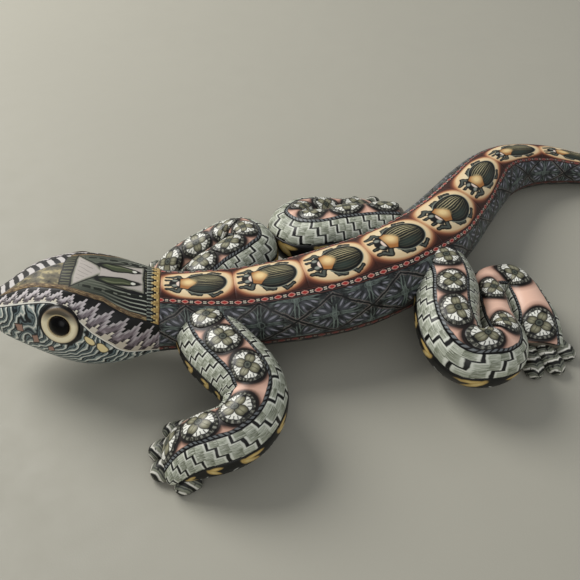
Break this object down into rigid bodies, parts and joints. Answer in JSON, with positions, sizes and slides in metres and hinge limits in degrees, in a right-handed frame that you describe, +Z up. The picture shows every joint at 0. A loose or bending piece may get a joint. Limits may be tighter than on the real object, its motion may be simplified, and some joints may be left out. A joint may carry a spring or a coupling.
{
  "type": "lizard figurine",
  "caption": "Crouching lizard figurine of polymer clay, dressed in patterned cane slices: beetles along the back, flower discs on the legs, domed eyes.",
  "frame": {"origin": "middle of the footprint, on the table that the lizard crouches on", "axes": "-X towards the nose, +X towards the tail, +Z up; the lizard's left side is at -Y"},
  "size_m": [0.268, 0.1166, 0.0384],
  "materials": {
    "core_clay": "plain scrap clay, satin",
    "snout_clay": "polished teal and grey contour-striped clay",
    "tail_clay": "polished dark clay",
    "crown": "polished olive-grey clay slice with a pale forked figure and a fan of fine lines",
    "collar": "polished gold zigzag clay band",
    "brow": "polished mauve-grey zigzag on black with cream teeth",
    "cheek": "polished teal, grey and black wavy contour clay",
    "throat": "polished grey contour clay",
    "beetle": "polished clay slice: a dark beetle in a cream oval, maroon round it",
    "beads": "polished black clay strip with red beads",
    "flank": "polished near-black clay with a grey star lattice",
    "belly": "polished near-black clay",
    "eye_ring": "polished cream clay, browner at the top",
    "eye_bead": "glossy black bead",
    "ribbon": "polished salmon pink clay, darker round the discs",
    "flower": "polished clay disc with a white and khaki flower",
    "slab": "polished grey-green stepped blocks with black outlines",
    "underside": "polished black clay with gold hooks",
    "toe": "polished grey striped clay",
    "pin_wire": "bare wire"
  },
  "bodies": {
    "root": {"head_core": "core_clay", "body_core": "core_clay", "snout_tip": "snout_clay", "tail_tip": "tail_clay", "crown_slice": "crown", "collar_band": "collar", "throat_skin": "throat", "belly_skin": "belly", "belly_beading": "beads", "leg_pins": "pin_wire", "back_slice_01": "beetle", "back_slice_02": "beetle", "back_slice_03": "beetle", "back_slice_04": "beetle", "back_slice_05": "beetle", "back_slice_06": "beetle", "back_slice_07": "beetle", "back_slice_08": "beetle", "back_slice_09": "beetle", "brow_band_left": "brow", "cheek_skin_left": "cheek", "bead_strip_left": "beads", "flank_skin_left": "flank", "eye_ring_left": "eye_ring", "eye_bead_left": "eye_bead", "brow_band_right": "brow", "cheek_skin_right": "cheek", "bead_strip_right": "beads", "flank_skin_right": "flank", "eye_ring_right": "eye_ring", "eye_bead_right": "eye_bead", "front_left_leg_core": "core_clay", "front_left_leg_ribbon": "ribbon", "front_left_leg_flowers": "flower", "front_left_leg_outer_slab": "slab", "front_left_leg_inner_slab": "slab", "front_left_leg_underside": "underside", "front_left_toes": "toe", "front_right_leg_core": "core_clay", "front_right_leg_ribbon": "ribbon", "front_right_leg_flowers": "flower", "front_right_leg_outer_slab": "slab", "front_right_leg_inner_slab": "slab", "front_right_leg_underside": "underside", "front_right_toes": "toe", "hind_left_leg_core": "core_clay", "hind_left_leg_ribbon": "ribbon", "hind_left_leg_flowers": "flower", "hind_left_leg_outer_slab": "slab", "hind_left_leg_inner_slab": "slab", "hind_left_leg_underside": "underside", "hind_left_toes": "toe", "hind_right_leg_core": "core_clay", "hind_right_leg_ribbon": "ribbon", "hind_right_leg_flowers": "flower", "hind_right_leg_outer_slab": "slab", "hind_right_leg_inner_slab": "slab", "hind_right_leg_underside": "underside", "hind_right_toes": "toe"}
  },
  "joints": []
}
